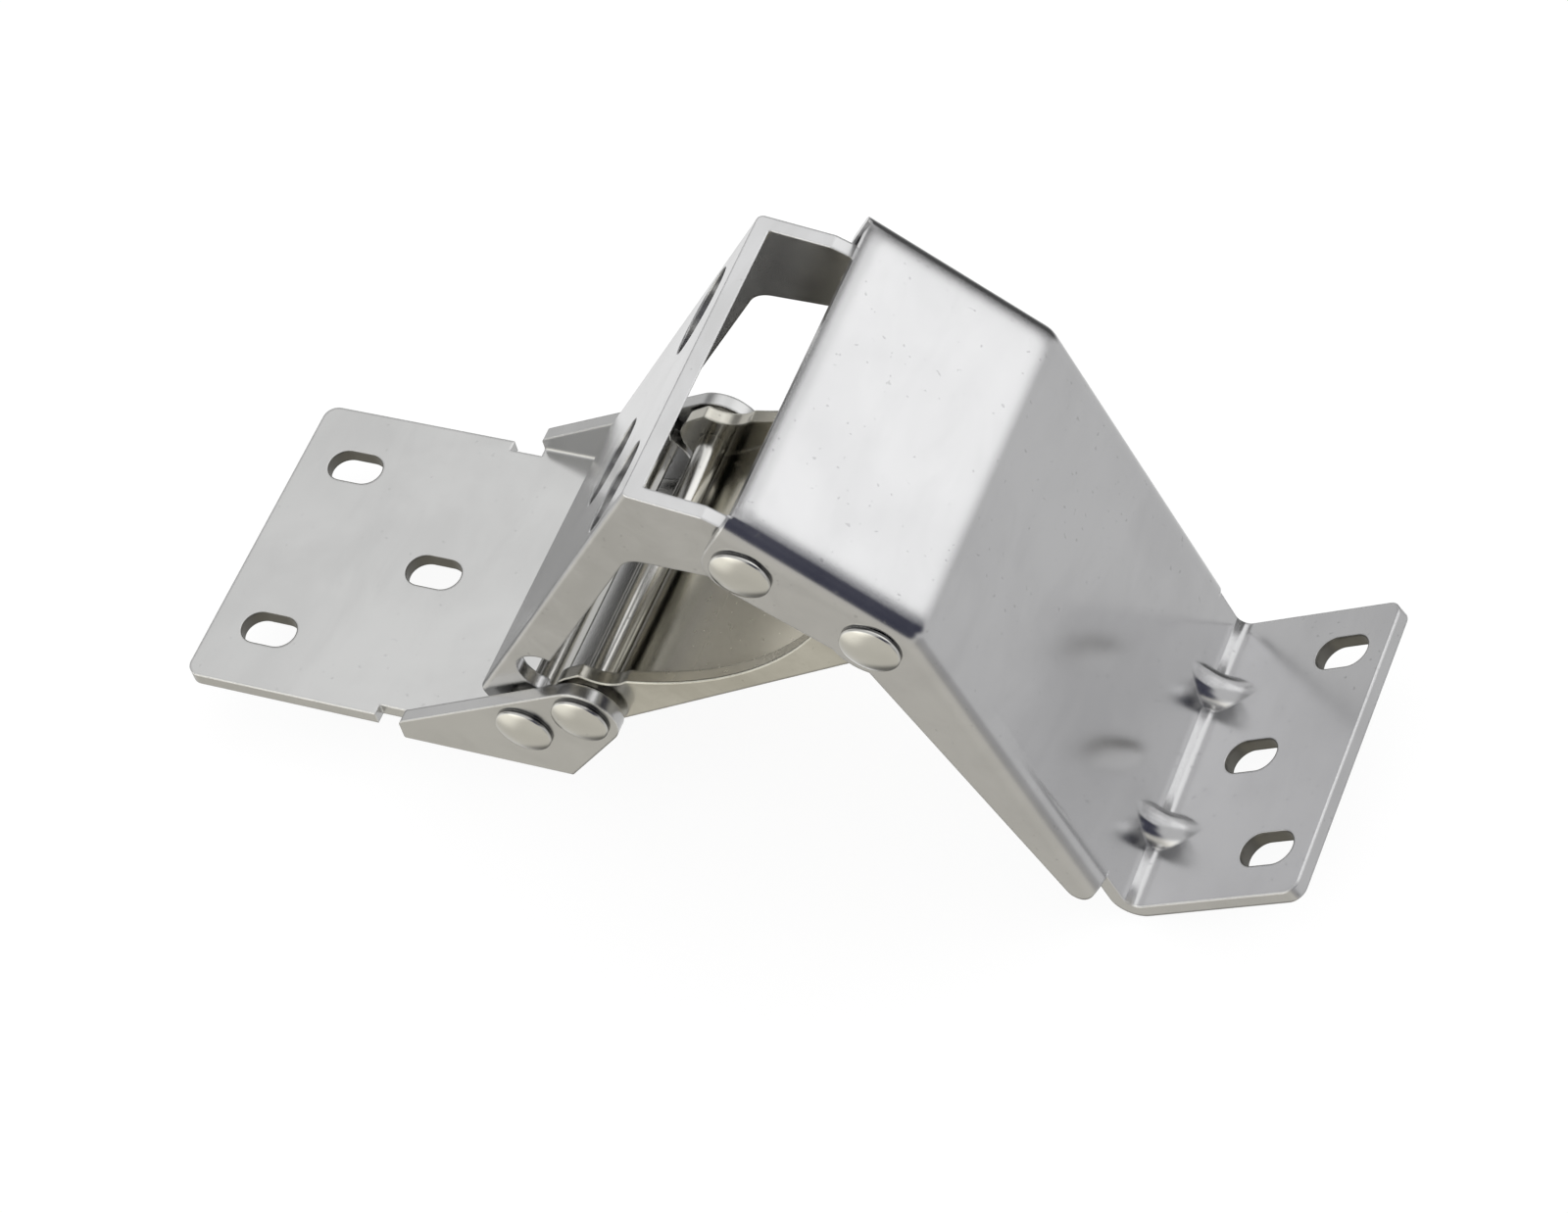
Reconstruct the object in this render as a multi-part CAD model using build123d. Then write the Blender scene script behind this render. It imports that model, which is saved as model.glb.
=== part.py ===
from build123d import *
import math
import os

os.makedirs("parts", exist_ok=True)

# Four-link cabinet hinge, part open as photographed.
# Millimetres: x runs along the leaf, y along the pivots, z up, top of the leaf at z = 0.

# Sheet and width
WIDTH = 60.0                 # leaf across the pivots
MID = WIDTH / 2
SHEET = 2.5
EAR_OUT = 2.1                # ears and bracket walls stand out past the leaf by this
REACH = 2 * WIDTH            # longer than any cut through the part
FOLD_IN = 0.4                # radii of the tight folds of leaf and links
FOLD_OUT = 1.0
BEND_IN = 0.8                # radii of the bracket's softer folds, the sheet thinner round them
BEND_OUT = 4.5
GAP = 1.0                    # side gap between an ear and a link, holds a washer
LINK_Y = SHEET - EAR_OUT + GAP   # outside face of both links

# Pivot centres (x, z)
P1 = (68.25, 9.46)           # leaf and outer link
P2 = (80.11, 16.19)          # leaf and inner link
P3 = (119.37, 66.98)         # outer link and bracket
P4 = (138.17, 54.27)         # inner link and bracket

# Pins, heads and washers
PIN_R = 2.5
RUN = 0.05                   # radial clearance of a link on its pin
HEAD_R = 5.0
HEAD_H = 3.1
PEEN_R = 3.4                 # low far ends of the bracket's pins
PEEN_H = 0.7
WASHER_R = 4.6
WASHER_T = 0.8
WASHER_SIDES = 24

# Fold of the hinge: turning angles from the photographed pose
CLOSE = 122.8                # outer link, door shut
OPEN = -18.0                 # outer link, door open: its nick rests on the inner link's knuckle
INNER_RATIO = 1.09
BRACKET_RATIO = 0.497
SLOT_PLAY = 0.3              # clearance of the opened pivot along its path

# Screw slots
SLOT_W = 6.4
SLOT_L = 10.2
LEAF_SLOT_X = 10.8
LEAF_SLOT_IN = 34.4
LEAF_SLOT_Y = 18.1
FLANGE_SLOT = 24.2
FLANGE_SLOT_IN = 13.3
FLANGE_SLOT_Y = 19.6
DRIVER_R = 8.0               # holes in the outer link for the screw heads

# Leaf
LEAF_L = 74.4
LEAF_CORNER = 2.5
NOTCH_X = 36.8
NOTCH_IN = 2.0
EAR_X = 42.9
EAR_TIP = 1.2                # rounding of the ear's corners
EAR_NOSE = 3.1               # height of its blunt front end
EAR_R = 6.1

# Outer link, measured from P1 along the web (u) and from the web inwards (v)
WEB_DEG = 57.2
WEB_V = 9.35                 # P1 to the outside of the web
WEB_BOTTOM = -1.2
WEB_TOP = 73.2
OUTER_LUG = 6.4
OUTER_END = 6.1              # lug round P3, clears the bracket's top sheet
STRIP = 6.6                  # flange left beside the web at the window
WINDOW_TOP = 59.2            # height of the window's top edge
WINDOW_R = 5.0
NICK_U = 12.7
NICK_V = 7.3
NICK_R = 4.9

# Inner link, measured from P2 towards P4
ARM_R = 6.0
ARM_END_R = 5.2
WAIST_R = 62.0
WAIST_S = 34.0
WAIST_N = 2.1
CURL = 75.0                  # how far the web curls round P2
WEB_END = 9.5                # the web stops this far before P4

# Bracket: corners of its outside line (x, z)
B0 = (119.4, 78.1)
TOP_DEG = -36.5
TOP_L = 34.0
SLOPE_DEG = -71.6
SLOPE_L = 72.1
FLANGE_DEG = 28.4
FLANGE_L = 33.1
FLANGE_Y = 1.2
FLANGE_CORNER = 2.5
CREST_R = 5.0
FOOT_R = 2.0
WALL_LUG = 6.4
WALL_P4 = 7.3
WALL_EDGE = 4.5
WALL_END = 8.6               # the walls stop this far before the foot bend
WALL_TOE = 2.4
DART_Y = 16.0                # stiffening ribs across the foot bend
DART_W = 7.0
DART_R = 8.0
DART_WALL = 1.9


def polar(p, deg, length):
    a = math.radians(deg)
    return (p[0] + length * math.cos(a), p[1] + length * math.sin(a))


def turned(v, deg):
    a = math.radians(deg)
    return (v[0] * math.cos(a) - v[1] * math.sin(a), v[0] * math.sin(a) + v[1] * math.cos(a))


def away(p, q):
    return (q[0] - p[0], q[1] - p[1])


def bearing(p, q):
    return math.degrees(math.atan2(q[1] - p[1], q[0] - p[0]))


B1 = polar(B0, TOP_DEG, TOP_L)
B2 = polar(B1, SLOPE_DEG, SLOPE_L)
B3 = polar(B2, FLANGE_DEG, FLANGE_L)


def disc(p, r):
    return Pos(p[0], p[1]) * Circle(r)


def hull(*discs):
    """Tight band round discs given as (x, z, radius)."""
    edges = []
    for x, z, r in discs:
        edges += (Pos(x, z) * Circle(r)).edges()
    return make_hull(edges)


def dot(p, r=0.05):
    return (p[0], p[1], r)


def across(flat, y0, y1):
    """Stand a flat outline drawn in x and z between two y values."""
    return extrude(Plane.XZ.offset(-y1) * flat, amount=y1 - y0, dir=(0, -1, 0))


def through(flat):
    """A cut right across the hinge."""
    return across(flat, -REACH, 2 * REACH)


def bore(p, r):
    return through(disc(p, r))


def channel(half, round_in=True):
    """Section of a sheet folded to a U, its base along the first axis and its legs up."""
    outer = Pos(0, 0) * Rectangle(2 * half, REACH, align=(Align.CENTER, Align.MIN))
    outer = fillet(outer.vertices().sort_by(Axis.Y)[:2], FOLD_OUT)
    inner = Pos(0, SHEET) * Rectangle(2 * (half - SHEET), REACH, align=(Align.CENTER, Align.MIN))
    if round_in:
        inner = fillet(inner.vertices().sort_by(Axis.Y)[:2], FOLD_IN)
    return outer - inner


def run_channel(half, start, deg, length):
    """Run a folded sheet from start along deg, legs on the side 90 degrees anticlockwise of it."""
    a = math.radians(deg)
    plane = Plane(
        origin=(start[0], MID, start[1]),
        x_dir=(0, 1, 0),
        z_dir=(math.cos(a), 0, math.sin(a)),
    )
    return extrude(plane * channel(half), amount=length)


def slot_cut(centre, deg, y):
    """Screw slot through a sheet lying along deg at centre (x, z)."""
    a = math.radians(deg)
    plane = Plane(
        origin=(centre[0], y, centre[1]),
        x_dir=(math.cos(a), 0, math.sin(a)),
        z_dir=(-math.sin(a), 0, math.cos(a)),
    )
    return extrude(plane * SlotOverall(SLOT_L, SLOT_W), amount=2 * SHEET, both=True)


def mounting_leaf():
    plate = Pos(0, 0) * Rectangle(LEAF_L, WIDTH, align=(Align.MIN, Align.MIN))
    plate = fillet(plate.vertices().sort_by(Axis.X)[:2], LEAF_CORNER)
    trim = Pos(NOTCH_X, 0) * Rectangle(LEAF_L, NOTCH_IN, align=(Align.MIN, Align.MIN))
    trim += Pos(NOTCH_X, WIDTH - NOTCH_IN) * Rectangle(LEAF_L, NOTCH_IN, align=(Align.MIN, Align.MIN))
    leaf = extrude(plate - trim, amount=-SHEET)
    tip = (EAR_X + EAR_TIP, -SHEET + EAR_TIP, EAR_TIP)
    nose = (EAR_X + EAR_TIP, EAR_NOSE - EAR_TIP, EAR_TIP)
    foot = (LEAF_L - EAR_TIP, -SHEET + EAR_TIP, EAR_TIP)
    outline = hull(tip, nose, foot, (P2[0], P2[1], EAR_R), (P2[0] + 0.5, P2[1], EAR_R))
    ears = run_channel(MID + EAR_OUT, (EAR_X, -SHEET), 0, LEAF_L)
    ears &= through(outline)
    leaf += ears
    leaf -= slot_cut((LEAF_SLOT_X, 0), 0, MID - LEAF_SLOT_Y)
    leaf -= slot_cut((LEAF_SLOT_X, 0), 0, MID + LEAF_SLOT_Y)
    leaf -= slot_cut((LEAF_SLOT_IN, 0), 0, MID)
    return leaf - bore(P1, PIN_R) - bore(P2, PIN_R)


def web_point(u, v):
    """Outer link: u along the web from P1, v inwards from the outside of the web."""
    foot = polar(P1, WEB_DEG + 90, WEB_V - v)
    return polar(foot, WEB_DEG, u)


def seen_from_outer(p, t):
    """Where a point of the bracket stands in the outer link when the link has turned by t."""
    arm = turned(away(P2, P4), INNER_RATIO * t)
    rest = turned(away(P4, p), BRACKET_RATIO * t)
    back = turned((P2[0] + arm[0] + rest[0] - P1[0], P2[1] + arm[1] + rest[1] - P1[1]), -t)
    return (P1[0] + back[0], P1[1] + back[1])


def open_slot():
    """Play round the bracket's P3 pin, whose centre strays from the outer link's pivot."""
    steps = 6
    points = [seen_from_outer(P3, OPEN + (CLOSE - OPEN) * i / steps) for i in range(steps + 1)]
    slot = None
    for a, b in zip(points, points[1:]):
        piece = hull((*a, PIN_R + SLOT_PLAY), (b[0] + 0.01, b[1], PIN_R + SLOT_PLAY))
        slot = piece if slot is None else slot + piece
    return slot


def top_sheet_sweep():
    """Room that the bracket's top sheet takes from the outer link's lugs as the door opens."""
    near = bracket_line(SHEET + 0.25)
    far = bracket_line(-4 * SHEET)
    room = None
    steps = 6
    for i in range(steps + 1):
        t = OPEN * i / steps
        corners = (polar(near[0], TOP_DEG + 180, 0.4), near[1], far[1], far[0])
        piece = Polygon(*(seen_from_outer(p, t) for p in corners), align=None)
        room = piece if room is None else room + piece
    return room


def outer_link():
    lug1 = (P1[0], P1[1], OUTER_LUG)
    lug3 = (P3[0], P3[1], OUTER_END)
    low = web_point(WEB_BOTTOM, 0)
    high = web_point(WEB_TOP, 0)
    side = hull(lug1, lug3, dot(low), dot(high))
    edge = web_point(0, STRIP + WINDOW_R)
    corner_z = WINDOW_TOP - WINDOW_R
    corner_x = edge[0] + (corner_z - edge[1]) / math.tan(math.radians(WEB_DEG))
    notch = web_point(NICK_U, STRIP + 2)
    window = hull(
        (corner_x, corner_z, WINDOW_R),
        (notch[0], notch[1], 2.0),
        (P3[0] + 4 * OUTER_LUG, corner_z, WINDOW_R),
        dot((P1[0] + 5 * OUTER_LUG, P1[1] - 2 * OUTER_LUG)),
        dot((P1[0] + 3, P1[1])),
    )
    nick = disc(web_point(NICK_U, NICK_V), NICK_R)
    side = side - (window - disc(P1, OUTER_LUG)) - nick - top_sheet_sweep()
    link = run_channel(MID - LINK_Y, web_point(WEB_TOP + MID, 0), WEB_DEG + 180, WEB_TOP + WIDTH)
    link &= through(side)
    link -= bore(P1, PIN_R + RUN)
    link -= through(open_slot())
    for x, y in ((LEAF_SLOT_X, MID - LEAF_SLOT_Y), (LEAF_SLOT_X, MID + LEAF_SLOT_Y), (LEAF_SLOT_IN, MID)):
        link -= web_hole(P1[0] - x, y)
    return link


def web_hole(u, y):
    """Screw-head hole in the web, over a slot of the leaf when the hinge is shut."""
    a = math.radians(WEB_DEG)
    centre = web_point(u, 0)
    plane = Plane(
        origin=(centre[0], y, centre[1]),
        x_dir=(math.cos(a), 0, math.sin(a)),
        z_dir=(-math.sin(a), 0, math.cos(a)),
    )
    return extrude(plane * Circle(DRIVER_R), amount=1.8 * SHEET, both=True)


def inner_link():
    deg = bearing(P2, P4)
    span = math.dist(P2, P4)

    def at(s, n):
        return polar(polar(P2, deg, s), deg + 90, n)

    arm = hull((P2[0], P2[1], ARM_R), (P4[0], P4[1], ARM_END_R), dot(at(span - WEB_END, -ARM_R + 0.05)))
    arm -= disc(at(WAIST_S, WAIST_R - WAIST_N), WAIST_R)
    p1_shut = polar(P2, bearing(P2, P1) - INNER_RATIO * CLOSE, math.dist(P1, P2))
    arm -= disc(p1_shut, OUTER_LUG + 0.8)
    link = run_channel(MID - LINK_Y, at(0, -ARM_R), deg, span - WEB_END)
    link &= through(arm)
    wide = 3 * ARM_R
    end = span - WEB_END
    beyond = Polygon(at(end, -wide), at(span + wide, -wide), at(span + wide, wide), at(end, wide), align=None)
    behind = Polygon(P2, at(0, wide), at(-wide, wide), polar(P2, deg + 270 - CURL, wide), align=None)
    for part in (arm & beyond, arm & behind):
        for y in (LINK_Y, WIDTH - LINK_Y - SHEET):
            link += across(part, y, y + SHEET)
    curl_plane = Plane(origin=(P2[0], MID, P2[1]), x_dir=(0, 1, 0),
                       z_dir=(math.cos(math.radians(deg)), 0, math.sin(math.radians(deg))))
    section = channel(MID - LINK_Y, round_in=False)
    section &= Pos(0, 0) * Rectangle(2 * WIDTH, ARM_R, align=(Align.CENTER, Align.MIN))
    section = curl_plane * Pos(0, -ARM_R) * section
    axis = Axis((P2[0], 0, P2[1]), (0, 1, 0))
    link += revolve(section, axis, CURL)
    return link - bore(P2, PIN_R + RUN) - bore(P4, PIN_R + RUN)


def bracket_line(depth):
    """Corners of the bracket's sheet line at a depth inside its outside line."""
    half = math.tan(math.radians((TOP_DEG - SLOPE_DEG) / 2))
    foot = math.tan(math.radians((FLANGE_DEG - SLOPE_DEG) / 2))
    a = polar(B0, TOP_DEG - 90, depth)
    b = polar(polar(B1, TOP_DEG - 90, depth), TOP_DEG, -depth * half)
    c = polar(polar(B2, SLOPE_DEG - 90, depth), SLOPE_DEG, depth * foot)
    d = polar(B3, FLANGE_DEG - 90, depth)
    return a, b, c, d


def off_line(p, q, deg):
    """Distance of p from the line through q along deg."""
    a = math.radians(deg)
    return abs((p[0] - q[0]) * math.sin(a) - (p[1] - q[1]) * math.cos(a))


def on_crown(edge, start, depth):
    """True for the long side edges along the top, the crest and the slope."""
    m = edge @ 0.5
    o = bracket_line(depth)
    top = off_line((m.X, m.Z), o[0], TOP_DEG)
    slope = off_line((m.X, m.Z), o[1], SLOPE_DEG)
    crest = math.dist((m.X, m.Z), o[1])
    along = abs((edge % 0.5).Y) < 0.5
    side = min(abs(m.Y - start), abs(m.Y - (WIDTH - start))) < 0.01
    return side and along and (top < 0.01 or slope < 0.01 or crest < 3)


def crown_block(depth, start, bend):
    """Solid under the bracket's top and slope, at a depth inside its outside line."""
    o = bracket_line(depth)
    back = polar(o[0], TOP_DEG + 180, TOP_L / 2)
    end = polar(o[2], SLOPE_DEG, TOP_L / 4)
    under = (end[0] - 0.8 * SLOPE_L, end[1] - TOP_L / 3)
    behind = (back[0] - 0.7 * TOP_L, back[1] - 0.9 * TOP_L)
    flat = Polygon(back, o[1], end, under, behind, align=None)
    crest = [v for v in flat.vertices() if math.dist((v.X, v.Y), o[1]) < 0.01]
    flat = fillet(crest, CREST_R - depth)
    body = across(flat, start, WIDTH - start)
    return fillet([e for e in body.edges() if on_crown(e, start, depth)], bend)


def cover_bracket():
    o = bracket_line(0)
    i = bracket_line(SHEET)
    shell = crown_block(0, -EAR_OUT, BEND_OUT) - crown_block(SHEET, SHEET - EAR_OUT, BEND_IN)
    # the top sheet starts at B0, the walls reach back past it to the pivot
    low = (o[0][0] - 1.8 * TOP_L, o[0][1] - 0.9 * TOP_L)
    high = (o[0][0] - 1.2 * TOP_L, o[0][1] + 1.2 * TOP_L)
    ends = polar(o[0], TOP_DEG + 90, TOP_L / 4), polar(o[0], TOP_DEG - 90, 1.2 * TOP_L)
    start = Polygon(*ends, low, high, align=None)
    shell -= across(start, SHEET - EAR_OUT, WIDTH + EAR_OUT - SHEET)
    # side walls
    stop = polar(o[2], SLOPE_DEG + 180, WALL_END)
    toe = polar(polar(stop, SLOPE_DEG + 180, 0.4), SLOPE_DEG - 90, 3.6)
    wall = hull(dot(o[0], 0.6), (*P3, WALL_LUG), (*P4, ARM_R), dot(o[1]))
    wall += hull((*P4, WALL_EDGE), dot(o[1]), (*toe, WALL_TOE), dot(stop))
    wall += disc(P4, WALL_P4)
    strap = Polygon(o[0], o[1], stop, polar(stop, SLOPE_DEG - 90, SHEET), i[1], i[0], align=None)
    shell &= through(wall + strap)
    # foot: the plain sheet runs on past the walls, bends and ends as the screw flange
    low = Polygon(stop, o[2], o[3], i[3], i[2], polar(stop, SLOPE_DEG - 90, SHEET), align=None)
    low = fillet([v for v in low.vertices() if math.dist((v.X, v.Y), o[2]) < 0.01], FOOT_R)
    low = fillet([v for v in low.vertices() if math.dist((v.X, v.Y), i[2]) < 0.01], FOOT_R + SHEET)
    foot = across(low, FLANGE_Y, WIDTH - FLANGE_Y)
    ends = [e for e in foot.edges() if abs((e % 0.5).Y) < 0.01 and abs(e.length - SHEET) < 0.01
            and math.dist(((e @ 0.5).X, (e @ 0.5).Z), o[3]) < SHEET]
    foot = fillet(ends, FLANGE_CORNER)
    shell += foot
    for y in (DART_Y, WIDTH - DART_Y):
        rib, hollow = dart(y)
        shell = shell + rib - hollow
    for reach, y in ((FLANGE_SLOT, -FLANGE_SLOT_Y), (FLANGE_SLOT, FLANGE_SLOT_Y), (FLANGE_SLOT_IN, 0)):
        shell -= slot_cut(polar(o[2], FLANGE_DEG, reach), FLANGE_DEG, MID + y)
    return shell - bore(P3, PIN_R) - bore(P4, PIN_R)


def dart(y):
    """Rib pressed across the foot bend: its crest is an arc that runs out on slope and flange."""
    corner = bracket_line(0)[2]
    half = math.radians((FLANGE_DEG - SLOPE_DEG) / 2)
    mid = (FLANGE_DEG + SLOPE_DEG + 180) / 2
    centre = polar(corner, mid, DART_R / math.cos(half))
    reach = DART_R * math.tan(half)
    swing = DART_R + DART_W / 2
    aim = math.radians(mid + 180)
    plane = Plane(origin=(centre[0], y, centre[1]), x_dir=(math.cos(aim), 0, math.sin(aim)), z_dir=(0, -1, 0))
    section = Plane(origin=(centre[0], y, centre[1]), x_dir=(math.cos(aim), 0, math.sin(aim)),
                    z_dir=(math.sin(aim), 0, -math.cos(aim)))
    axis = Axis((centre[0], y, centre[1]), (0, 1, 0))
    rib = revolve(section * (Pos(swing, 0) * Circle(DART_W / 2)), axis, 360)
    h = DART_W / 2 - DART_WALL
    r = 0.4 * h
    hollow = Polygon((2 * DART_W, -h), (-r, -h), (-h, -r), (-h, r), (-r, h), (2 * DART_W, h), align=None)
    hollow = revolve(section * (Pos(swing, 0) * hollow), axis, 360)
    back = bracket_line(0.8 * SHEET)[2]
    near = Polygon(centre, polar(corner, SLOPE_DEG + 180, reach), polar(back, SLOPE_DEG + 180, reach), back,
                   polar(back, FLANGE_DEG, reach), polar(corner, FLANGE_DEG, reach), align=None)
    near = fillet([v for v in near.vertices() if math.dist((v.X, v.Y), back) < 0.01], FOOT_R + 0.8 * SHEET)
    ends = polar(corner, SLOPE_DEG + 180, 0.8 * reach), polar(corner, FLANGE_DEG, 0.8 * reach)
    below = polar(corner, SLOPE_DEG - 90, 2 * DART_W), polar(corner, FLANGE_DEG - 90, 2 * DART_W)
    deep = Polygon(centre, ends[0], *below, ends[1], align=None)
    return rib & across(near, y - DART_W, y + DART_W), hollow & across(deep, y - DART_W, y + DART_W)


def pin(p, peened):
    """Pivot pin through both sides: a button head in front, the same or a low peened end at the back."""
    y0 = -EAR_OUT
    y1 = WIDTH + EAR_OUT
    shank = across(disc(p, PIN_R), y0 - 1, y1 + PEEN_H / 2)
    half = Polygon((0, 0), (HEAD_R, 0), (HEAD_R, 0.42 * HEAD_H), (0.84 * HEAD_R, 0.8 * HEAD_H),
                   (0.46 * HEAD_R, HEAD_H), (0, HEAD_H), align=None)
    low = Polygon((0, 0), (PEEN_R, 0), (PEEN_R - 0.6 * PEEN_H, PEEN_H), (0, PEEN_H), align=None)
    head = revolve(Plane.XZ * half, Axis.Z, 360)
    tail = revolve(Plane.XZ * (low if peened else half), Axis.Z, 360)
    front = Plane(origin=(p[0], y0, p[1]), x_dir=(1, 0, 0), z_dir=(0, -1, 0))
    rear = Plane(origin=(p[0], y1, p[1]), x_dir=(1, 0, 0), z_dir=(0, 1, 0))
    return shank + front * head + rear * tail


def washer(p, y):
    rim = Pos(p[0], p[1]) * RegularPolygon(WASHER_R, WASHER_SIDES)
    return across(rim - disc(p, PIN_R + 0.1), y, y + WASHER_T)


parts = {
    "mounting_leaf": mounting_leaf(),
    "outer_link": outer_link(),
    "inner_link": inner_link(),
    "cover_bracket": cover_bracket(),
}
for name, centre in (
    ("leaf_outer", P1),
    ("leaf_inner", P2),
    ("bracket_outer", P3),
    ("bracket_inner", P4),
):
    parts[f"{name}_pin"] = pin(centre, name.startswith("bracket"))
    parts[f"{name}_washer_front"] = washer(centre, SHEET - EAR_OUT)
    parts[f"{name}_washer_back"] = washer(centre, WIDTH - SHEET + EAR_OUT - WASHER_T)
# hand over in the frame of the leaf's screw face: underside, centre line, between its slots
home = Pos(-(LEAF_SLOT_X + LEAF_SLOT_IN) / 2, -MID, SHEET)
for name, solid in parts.items():
    solid = home * solid
    export_step(solid, f"parts/{name}.step")
    print(name, solid.is_valid, len(solid.solids()), round(solid.volume))
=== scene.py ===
import math

import bmesh
import bpy
from mathutils import Matrix, Vector


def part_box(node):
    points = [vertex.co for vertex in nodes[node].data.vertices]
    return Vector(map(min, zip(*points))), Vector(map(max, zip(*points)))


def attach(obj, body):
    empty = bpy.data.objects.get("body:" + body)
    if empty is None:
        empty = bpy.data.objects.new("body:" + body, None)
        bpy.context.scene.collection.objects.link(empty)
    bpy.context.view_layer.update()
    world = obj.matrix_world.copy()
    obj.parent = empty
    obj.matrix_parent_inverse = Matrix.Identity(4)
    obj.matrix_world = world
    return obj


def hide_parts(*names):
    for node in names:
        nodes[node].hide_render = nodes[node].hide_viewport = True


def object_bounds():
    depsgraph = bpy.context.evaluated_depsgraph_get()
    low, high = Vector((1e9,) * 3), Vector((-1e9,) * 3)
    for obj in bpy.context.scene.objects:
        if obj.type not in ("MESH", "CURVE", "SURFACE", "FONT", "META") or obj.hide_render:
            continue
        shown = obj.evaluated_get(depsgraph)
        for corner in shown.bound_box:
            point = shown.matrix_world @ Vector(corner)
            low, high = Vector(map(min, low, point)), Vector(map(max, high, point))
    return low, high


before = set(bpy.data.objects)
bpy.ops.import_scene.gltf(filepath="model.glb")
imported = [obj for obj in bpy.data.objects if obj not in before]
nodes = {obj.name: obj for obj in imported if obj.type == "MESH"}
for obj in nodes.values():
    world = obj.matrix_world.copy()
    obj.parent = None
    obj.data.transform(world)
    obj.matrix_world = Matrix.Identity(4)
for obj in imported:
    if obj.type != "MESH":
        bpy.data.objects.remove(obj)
rest_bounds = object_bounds()
scene = bpy.context.scene


# Shader maths through a small socket wrapper
class Val:
    def __init__(self, net, sock):
        self.net = net
        self.sock = sock

    def _op(self, kind, *others):
        node = self.net.nodes.new("ShaderNodeMath")
        node.operation = kind
        for k, item in enumerate((self,) + others):
            if isinstance(item, Val):
                self.net.links.new(item.sock, node.inputs[k])
            else:
                node.inputs[k].default_value = item
        return Val(self.net, node.outputs[0])

    def __add__(self, other):
        return self._op("ADD", other)

    def __radd__(self, other):
        return self._op("ADD", other)

    def __mul__(self, other):
        return self._op("MULTIPLY", other)

    def __rmul__(self, other):
        return self._op("MULTIPLY", other)

    def __sub__(self, other):
        return self._op("SUBTRACT", other)

    def __rsub__(self, other):
        return (self * -1.0) + other

    def __pow__(self, other):
        return self._op("POWER", other)

    def size(self):
        return self._op("ABSOLUTE")

    def above(self, other):
        return self._op("MAXIMUM", other)

    def ramp(self, low, high):
        """0 below low, 1 above high, smooth between."""
        node = self.net.nodes.new("ShaderNodeMapRange")
        node.interpolation_type = "SMOOTHSTEP"
        self.net.links.new(self.sock, node.inputs["Value"])
        node.inputs["From Min"].default_value = low
        node.inputs["From Max"].default_value = high
        return Val(self.net, node.outputs["Result"])

    def into(self, socket):
        self.net.links.new(self.sock, socket)


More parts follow.
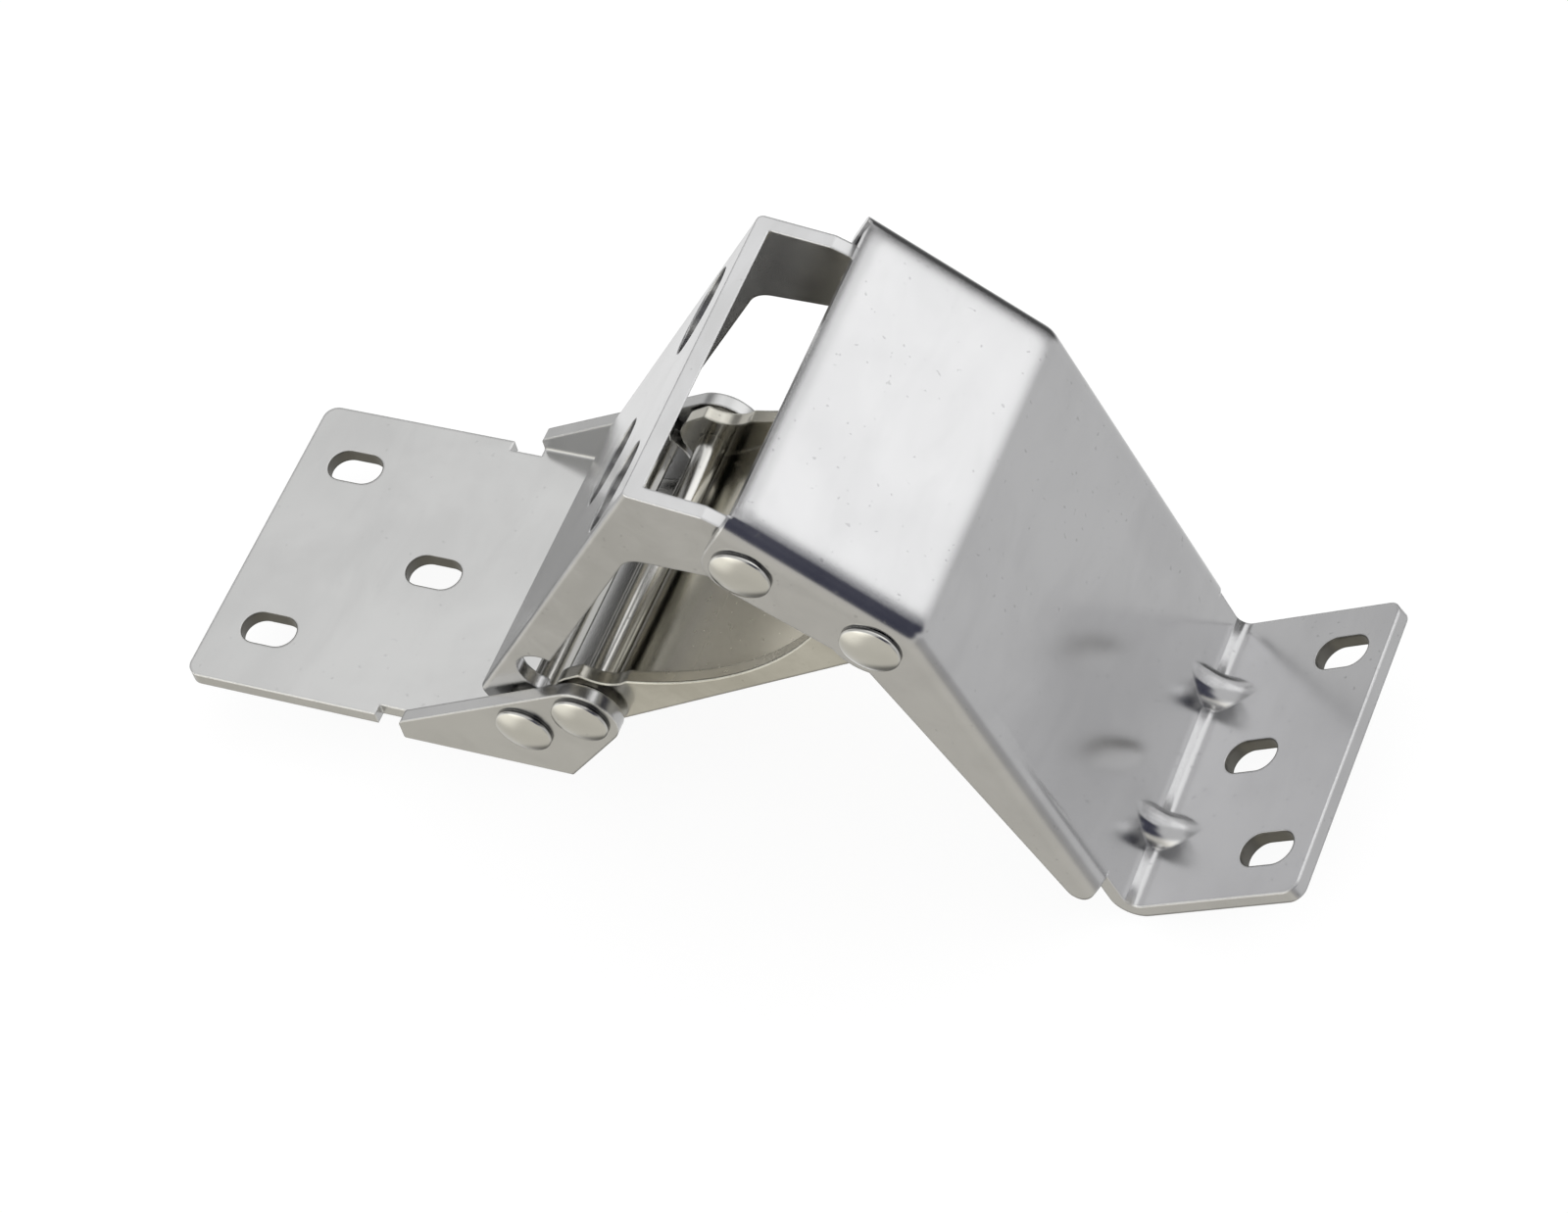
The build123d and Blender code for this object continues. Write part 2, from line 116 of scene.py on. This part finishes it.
class Net:
    """A node tree with short ways to the nodes used here."""

    def __init__(self, tree):
        self.tree = tree
        self.nodes = tree.nodes
        self.links = tree.links

    def make(self, kind, inputs=None, **settings):
        node = self.nodes.new(kind)
        for name, value in settings.items():
            setattr(node, name, value)
        for name, value in (inputs or {}).items():
            if isinstance(value, Val):
                self.links.new(value.sock, node.inputs[name])
            else:
                node.inputs[name].default_value = value
        return node

    def val(self, sock):
        return Val(self, sock)

    def noise(self, where, scale, detail=2.0, rough=0.5, stretch=(1, 1, 1), warp=0.0):
        turn = self.make("ShaderNodeMapping", {"Vector": where})
        turn.inputs["Scale"].default_value = [scale * s for s in stretch]
        node = self.make("ShaderNodeTexNoise", {"Vector": Val(self, turn.outputs[0])})
        node.inputs["Scale"].default_value = 1.0
        node.inputs["Detail"].default_value = detail
        node.inputs["Roughness"].default_value = rough
        node.inputs["Distortion"].default_value = warp
        return Val(self, node.outputs["Fac"])

    def blend(self, factor, first, second):
        node = self.nodes.new("ShaderNodeMix")
        node.data_type = "RGBA"
        if isinstance(factor, Val):
            self.links.new(factor.sock, node.inputs[0])
        else:
            node.inputs[0].default_value = factor
        for k, item in ((6, first), (7, second)):
            if isinstance(item, Val):
                self.links.new(item.sock, node.inputs[k])
            else:
                node.inputs[k].default_value = (*item, 1)
        return Val(self, node.outputs[2])

    def tint(self, colour, by):
        node = self.nodes.new("ShaderNodeMix")
        node.data_type = "RGBA"
        node.blend_type = "MULTIPLY"
        node.inputs[0].default_value = 1.0
        self.links.new(colour.sock, node.inputs[6])
        node.inputs[7].default_value = (*by, 1)
        return Val(self, node.outputs[2])

    def dot(self, first, second):
        node = self.make("ShaderNodeVectorMath", operation="DOT_PRODUCT")
        for k, item in enumerate((first, second)):
            if isinstance(item, tuple):
                node.inputs[k].default_value = item
            else:
                self.links.new(item, node.inputs[k])
        return Val(self, node.outputs["Value"])

    def edge(self, flat, rounded):
        """0 on a flat face, 1 on a rolled edge, from the true normal and the rounded one."""
        return (1.0 - self.dot(flat, rounded)).ramp(0.02, 0.22)

    def mix_normals(self, factor, first, second):
        node = self.make("ShaderNodeMix", data_type="VECTOR")
        self.links.new(factor.sock, node.inputs[0])
        self.links.new(first, node.inputs[4])
        self.links.new(second, node.inputs[5])
        even = self.make("ShaderNodeVectorMath", operation="NORMALIZE")
        self.links.new(node.outputs[1], even.inputs[0])
        return even.outputs["Vector"]

    def in_slot(self, where, slot):
        """1 on the punched wall of a slot that runs along a slanted sheet, 0 elsewhere."""
        (x, y, z), lean = slot
        split = self.make("ShaderNodeSeparateXYZ", {"Vector": where})
        east = Val(self, split.outputs[0]) - x
        rise = Val(self, split.outputs[2]) - z
        along = east * math.cos(lean) + rise * math.sin(lean)
        depth = rise * math.cos(lean) - east * math.sin(lean)
        past = (along.size() - (SLOT_LONG - SLOT_WIDE) / 2).above(0.0)
        aside = Val(self, split.outputs[1]) - y
        reach = (past * past + aside * aside) ** 0.5
        beside = reach.ramp(SLOT_WIDE / 2 + 0.00005, SLOT_WIDE / 2 + 0.0002)
        return 1.0 - beside.above(depth.size().ramp(0.004, 0.005))

    def grey(self, value):
        node = self.nodes.new("ShaderNodeCombineColor")
        for k in range(3):
            self.links.new(value.sock, node.inputs[k])
        return Val(self, node.outputs[0])


# Screw slots in the leaf and the flange: size, middles and lean of the sheet, in metres
SLOT_WIDE = 0.0064
SLOT_LONG = 0.0102
LEAF_SLOT_X = 0.0118
LEAF_SLOT_Y = 0.0181
FLANGE_SLOT_Y = 0.0196
FLANGE_LEAN = math.radians(28.4)
FOOT = (0.14690, -0.00803)


def on_flange(reach, y):
    """A slot's middle, by its distance up the flange from the foot bend."""
    x = FOOT[0] + reach * math.cos(FLANGE_LEAN)
    return ((x, y, FOOT[1] + reach * math.sin(FLANGE_LEAN)), FLANGE_LEAN)


leaf_slots = [
    ((-LEAF_SLOT_X, -LEAF_SLOT_Y, 0), 0),
    ((-LEAF_SLOT_X, LEAF_SLOT_Y, 0), 0),
    ((LEAF_SLOT_X, 0, 0), 0),
]
flange_slots = [on_flange(0.0242, -FLANGE_SLOT_Y), on_flange(0.0242, FLANGE_SLOT_Y), on_flange(0.0133, 0)]

# Ways that the bracket's top and the inner side of the inner link's web face
TOP_FACE = (0.595, 0.0, 0.804)
WEB_INSIDE = (-0.545, 0.0, 0.839)

# Outer face of the ears and walls, half width inside the inner link, and radius of the soft bend
SHEET_FACE = 0.0321
INNER_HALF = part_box("inner_link")[1][1] - 0.0003
SOFT_BEND = 0.006

# Slot walls' dark colour (painted shade in the holes), the painted shade at the rivets' foot, and how far
# past the curl the painted light on the inside starts
SLOT_SHADE = (0.15, 0.145, 0.13)
SHADED = (0.08, 0.08, 0.08)
PAST_CURL = (0.062, 0.078)


def plated(name, light, dark, rough, spread=0.07, wave=0.25, grain=0.05, specks=0.5, rim=0.0006,
           painted_edge_highlight=0.55, slots=(), soft=None, inside=None, foot=0.0):
    """Plated sheet steel: cloudy colour, uneven polish, soft waves, fine grain, and a painted highlight on
    the rolled edges.
    """
    mat = bpy.data.materials.new(name)
    mat.use_nodes = True
    net = Net(mat.node_tree)
    shader = net.nodes["Principled BSDF"]
    coords = net.make("ShaderNodeTexCoord")
    where = net.val(coords.outputs["Object"])
    own = coords.outputs["Normal"]
    cloud = net.noise(where, 38, 3, 0.55, warp=0.4)
    smear = net.noise(where, 130, 4, 0.6, (1, 0.35, 1), 0.6)
    fine = net.noise(where, 1400, 2, 0.6, (0.25, 1, 1))
    dots = net.noise(where, 900, 1, 0.4).ramp(0.72, 0.78)
    mixed = (cloud * 0.6 + smear * 0.4).ramp(0.35, 0.65)
    colour = net.blend(mixed, dark, light)
    colour = net.blend(dots * specks * 0.5, colour, [c * 0.45 for c in dark])
    polish = smear * spread + dots * 0.12 * specks + (rough - spread * 0.5)
    shader.inputs["Metallic"].default_value = 1.0
    flat = net.make("ShaderNodeNewGeometry").outputs["True Normal"]
    place = net.make("ShaderNodeSeparateXYZ", {"Vector": where})
    across = net.val(place.outputs[1]).size()
    # Painted light: past the curl, the faces inside the inner link's web get a paler, less metallic colour
    # that stands in for light there
    if inside:
        half, painted_light_colour = inside
        sideways = net.dot(own, (0.0, 1.0, 0.0)).size()
        facing = net.dot(own, WEB_INSIDE).ramp(0.6, 0.95).above(sideways.ramp(0.5, 0.9))
        past_curl = net.val(place.outputs[0]).ramp(*PAST_CURL)
        painted_light_inside = (1.0 - across.ramp(half - 0.0002, half)) * facing * past_curl
        colour = net.blend(painted_light_inside, colour, painted_light_colour)
        polish = polish + painted_light_inside * 0.08
        (1.0 - painted_light_inside * 0.3).into(shader.inputs["Metallic"])
    # Painted shade: the rivet's flank next to the sheet is painted dark
    if foot:
        above_foot = across.ramp(SHEET_FACE + foot, SHEET_FACE + foot * 1.4)
        painted_foot_shade = across.ramp(SHEET_FACE - 0.0002, SHEET_FACE) * (1.0 - above_foot)
        colour = net.blend(painted_foot_shade, colour, SHADED)
    rounded = net.make("ShaderNodeBevel", {"Radius": rim}, samples=4).outputs[0]
    edge = net.edge(flat, rounded)
    # Painted highlight: rolled edges are painted up to half again lighter
    colour = net.blend(edge * painted_edge_highlight, colour, [min(0.9, c * 1.5) for c in light])
    # Painted shade: slot walls are painted dark and made rougher
    for slot in slots:
        punched = net.in_slot(where, slot)
        colour = net.blend(punched, colour, SLOT_SHADE)
        polish = polish + punched * 0.2
    if soft:
        wide = net.make("ShaderNodeBevel", {"Radius": SOFT_BEND}, samples=8).outputs[0]
        rounded = net.mix_normals(net.dot(own, soft).ramp(0.88, 0.98), rounded, wide)
    colour.into(shader.inputs["Base Color"])
    polish.into(shader.inputs["Roughness"])
    broad = net.noise(where, 55, 1, 0.4)
    bump = net.make("ShaderNodeBump", {"Height": broad * wave + fine * grain * 0.1 + dots * 0.04 * specks})
    bump.inputs["Strength"].default_value = 0.35
    bump.inputs["Distance"].default_value = 0.0006
    net.links.new(rounded, bump.inputs["Normal"])
    net.links.new(bump.outputs[0], shader.inputs["Normal"])
    return mat


finishes = {
    "leaf": plated("plated leaf", (0.58, 0.58, 0.575), (0.52, 0.52, 0.515), 0.24, specks=0.2,
                   slots=leaf_slots),
    "cover": plated("plated cover", (0.57, 0.57, 0.575), (0.52, 0.52, 0.525), 0.20, wave=0.35,
                    rim=0.0007, slots=flange_slots, soft=TOP_FACE),
    "outer": plated("plated outer link", (0.57, 0.57, 0.575), (0.49, 0.49, 0.49), 0.20,
                    rim=0.0005, painted_edge_highlight=0.85),
    "inner": plated("plated inner link", (0.62, 0.605, 0.55), (0.50, 0.485, 0.43), 0.18,
                    inside=(INNER_HALF, (0.95, 0.90, 0.76))),
    "pin": plated("plated pin", (0.62, 0.615, 0.59), (0.58, 0.575, 0.55), 0.20, wave=0.1, rim=0.0002,
                  foot=0.00035),
    "washer": plated("plated washer", (0.52, 0.51, 0.48), (0.45, 0.44, 0.41), 0.30, rim=0.0002),
}
sheets = {"mounting_leaf": "leaf", "cover_bracket": "cover", "outer_link": "outer", "inner_link": "inner"}
for name, obj in nodes.items():
    if name.endswith("_pin"):
        key = "pin"
    elif "washer" in name:
        key = "washer"
    else:
        key = sheets[name]
    obj.data.materials.clear()
    obj.data.materials.append(finishes[key])

# Rivets with smooth pillow heads, in place of the pins' plainer ones: room for the head and the low
# end on the solid, radius of the shank and the low end, and the face's slope where it meets the corner
HEAD_ROOM = 0.0031
LOW_ROOM = 0.0007
SHANK = 0.0025
LOW_RADIUS = 0.0034
CROWN = math.radians(26)
CORNER_RINGS = 7
FACE_RINGS = 6


def select_end(obj, y):
    """Select the one flat face that closes the bar at y."""
    mesh = bmesh.from_edit_mesh(obj.data)
    mesh.select_mode = {"FACE"}
    for face in mesh.faces:
        face.select_set(all(abs(v.co.y - y) < 1e-6 for v in face.verts))
    mesh.select_flush_mode()
    bmesh.update_edit_mesh(obj.data)


def head_profile(radius, flank, corner):
    """Radius and height of each ring: a short upright flank, a rounded corner and a gently crowned face."""
    rings = [(radius, flank)]
    for step in range(1, CORNER_RINGS + 1):
        lean = math.pi / 2 + (CROWN - math.pi / 2) * step / CORNER_RINGS
        rings.append((radius - corner * (1 - math.sin(lean)), flank + corner * math.cos(lean)))
    ball = rings[-1][0] / math.sin(CROWN)
    base = rings[-1][1] - ball * math.cos(CROWN)
    for step in range(1, FACE_RINGS + 1):
        lean = CROWN * (1 - step / (FACE_RINGS + 0.5))
        rings.append((ball * math.sin(lean), base + ball * math.cos(lean)))
    return rings


def grow_head(centre, start, outward, rings):
    """Push the selected end out to a collar, then up ring by ring over the head."""
    y = start
    at = SHANK
    bpy.ops.mesh.extrude_region_move(TRANSFORM_OT_translate={"value": (0, 0, 0)})
    for radius, height in [(rings[0][0], 0.0)] + rings:
        if height:
            rise = start + outward * height
            bpy.ops.mesh.extrude_region_move(TRANSFORM_OT_translate={"value": (0, rise - y, 0)})
            y = rise
        scale = radius / at
        bpy.ops.transform.resize(value=(scale, 1, scale), center_override=(centre[0], y, centre[1]))
        at = radius


def rivet(node, body):
    low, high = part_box(node)
    centre = ((low[0] + high[0]) / 2, (low[2] + high[2]) / 2)
    radius = (high[0] - low[0]) / 2
    peened = node.startswith("bracket")
    front = low[1] + HEAD_ROOM
    back = high[1] - (LOW_ROOM if peened else HEAD_ROOM)
    bpy.ops.object.select_all(action="DESELECT")
    bpy.ops.mesh.primitive_cylinder_add(
        vertices=64, radius=SHANK, depth=back - front, end_fill_type="NGON",
        location=(centre[0], (front + back) / 2, centre[1]), rotation=(math.pi / 2, 0, 0),
    )
    obj = bpy.context.object
    obj.name = node + "_rivet"
    bpy.ops.object.transform_apply(location=True, rotation=True, scale=True)
    bpy.ops.object.mode_set(mode="EDIT")
    select_end(obj, front)
    button = head_profile(radius, 0.0005, 0.0005)
    grow_head(centre, front, -1, button)
    select_end(obj, back)
    grow_head(centre, back, 1, head_profile(LOW_RADIUS, 0.0001, 0.0002) if peened else button)
    bpy.ops.mesh.select_all(action="SELECT")
    bpy.ops.mesh.normals_make_consistent(inside=False)
    bpy.ops.object.mode_set(mode="OBJECT")
    bpy.ops.object.shade_smooth_by_angle(angle=math.radians(35))
    obj.data.materials.append(finishes["pin"])
    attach(obj, body)
    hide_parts(node)


for node, body in (
    ("leaf_outer_pin", "leaf"),
    ("leaf_inner_pin", "leaf"),
    ("bracket_outer_pin", "bracket"),
    ("bracket_inner_pin", "bracket"),
):
    rivet(node, body)

# Studio: white to the camera, soft panels and darker gaps to the metal
world = bpy.data.worlds.new("studio")
world.use_nodes = True
scene.world = world
sky = Net(world.node_tree)
direction = sky.val(sky.make("ShaderNodeTexCoord").outputs["Generated"])


def toward(x, y, z):
    """How closely a ray points to x, y, z: 1 along it, 0 square to it."""
    aim = Vector((x, y, z)).normalized()
    node = sky.nodes.new("ShaderNodeVectorMath")
    node.operation = "DOT_PRODUCT"
    sky.links.new(direction.sock, node.inputs[0])
    node.inputs[1].default_value = aim
    return sky.val(node.outputs["Value"])


# Soft panels (more light) and gaps (less): way to it, cosine at its rim and at its core, strength
ROOM = 0.74
PANELS = (
    ((0.64, 0.52, 0.565), 0.87, 0.98, 0.76),
    ((-0.40, 0.45, 0.80), 0.95, 0.995, 0.46),
    ((0.06, 0.51, 0.86), 0.92, 0.98, 0.45),
    ((-0.64, 0.56, 0.53), 0.955, 0.985, -0.45),
    ((-0.54, 0.52, -0.66), 0.85, 0.98, -0.08),
    ((-0.362, -0.51, -0.78), 0.75, 0.98, -0.06),
    ((-0.80, -0.58, 0.0), 0.75, 0.95, 0.60),
    ((-0.38, -0.88, 0.28), 0.88, 0.97, 0.80),
    ((-0.93, -0.02, 0.35), 0.95, 0.985, -0.60),
    ((-0.05, 0.05, -1.0), 0.90, 0.98, -0.55),
)
WARM = (1.0, 0.97, 0.88)

# Dark cloths beside the camera and behind the hinge, which give rims and heads their dark lines
CLOTHS = (
    ((0.48, -0.81, 0.34), 0.92, 0.965, 1.0),
    ((0.74, -0.42, 0.525), 0.89, 0.98, 1.0),
    ((0.87, -0.28, 0.41), 0.92, 0.98, 1.0),
    ((0.72, -0.58, -0.36), 0.94, 0.985, 0.4),
)
CLOTH_BLUE = (0.06, 0.062, 0.095)
CLOTH_BLACK = (0.03, 0.03, 0.03)


def panel(way, rim, core, strength):
    return toward(*way).ramp(rim, core) * strength


light = ROOM + panel(*PANELS[0])
for row in PANELS[1:]:
    light = light + panel(*row)
front = panel((-0.2, -0.8, -0.55), 0.2, 0.9, 1.0)
neutral = sky.grey(light)
warm = sky.tint(neutral, WARM)
colour = sky.blend(front, neutral, warm)
dark = panel(*CLOTHS[0])
for row in CLOTHS[1:]:
    dark = dark.above(panel(*row))
colour = sky.blend(dark, colour, CLOTH_BLUE)
behind = panel((0.12, 0.98, -0.12), 0.86, 0.96, 0.9)
colour = sky.blend(behind, colour, CLOTH_BLACK)
path = sky.make("ShaderNodeLightPath")
mirrored = sky.val(path.outputs["Is Glossy Ray"]).above(sky.val(path.outputs["Is Transmission Ray"]))
backdrop = mirrored * panel((-0.362, 0.51, -0.78), 0.90, 0.97, 1.0)
seen = sky.val(path.outputs["Is Camera Ray"]).above(backdrop)
colour = sky.blend(seen, colour, (1.0, 1.0, 1.0))
back = sky.nodes["Background"]
colour.into(back.inputs["Color"])
back.inputs["Strength"].default_value = 1.0

# Plain white floor just below the hinge, with only a breath of shadow
FLOOR_GAP = 0.0004
floor_height = rest_bounds[0][2] - FLOOR_GAP
bpy.ops.object.select_all(action="DESELECT")
bpy.ops.mesh.primitive_circle_add(vertices=64, radius=3.0, fill_type="NGON", location=(0, 0, floor_height))
floor = bpy.context.object
floor.name = "floor"
paper = bpy.data.materials.new("white paper")
paper.use_nodes = True
sheet = Net(paper.node_tree)
sheet.nodes.remove(sheet.nodes["Principled BSDF"])
glow = sheet.make("ShaderNodeEmission", {"Color": (1, 1, 1, 1), "Strength": 0.9})
matt = sheet.make("ShaderNodeBsdfDiffuse", {"Color": (0.16, 0.16, 0.16, 1)})
both = sheet.make("ShaderNodeAddShader")
sheet.links.new(glow.outputs[0], both.inputs[0])
sheet.links.new(matt.outputs[0], both.inputs[1])
clear = sheet.make("ShaderNodeBsdfTransparent")
side = sheet.make("ShaderNodeNewGeometry")
pick = sheet.make("ShaderNodeMixShader")
sheet.links.new(side.outputs["Backfacing"], pick.inputs[0])
sheet.links.new(both.outputs[0], pick.inputs[1])
sheet.links.new(clear.outputs[0], pick.inputs[2])
sheet.links.new(pick.outputs[0], sheet.nodes["Material Output"].inputs["Surface"])
floor.data.materials.append(paper)
floor.visible_glossy = False
floor.visible_diffuse = False

# Camera solved from the photograph: lens in mm, place in metres, and the ways its own axes point
SENSOR = 36.0
LENS = 106.824
PLACE = (0.356022, -0.389079, 0.608881)
RIGHT = Vector((0.913417, 0.360983, -0.188045))
UPWARD = Vector((-0.185677, 0.780675, 0.596717))
BACKWARD = Vector((0.362207, -0.510136, 0.780107))
cam_data = bpy.data.cameras.new("camera")
cam_data.sensor_width = SENSOR
cam_data.sensor_fit = "HORIZONTAL"
cam_data.lens = LENS
camera = bpy.data.objects.new("camera", cam_data)
scene.collection.objects.link(camera)
turn = Matrix((RIGHT, UPWARD, BACKWARD)).transposed().to_4x4()
camera.matrix_world = Matrix.Translation(PLACE) @ turn
scene.camera = camera

scene.view_settings.view_transform = "Standard"
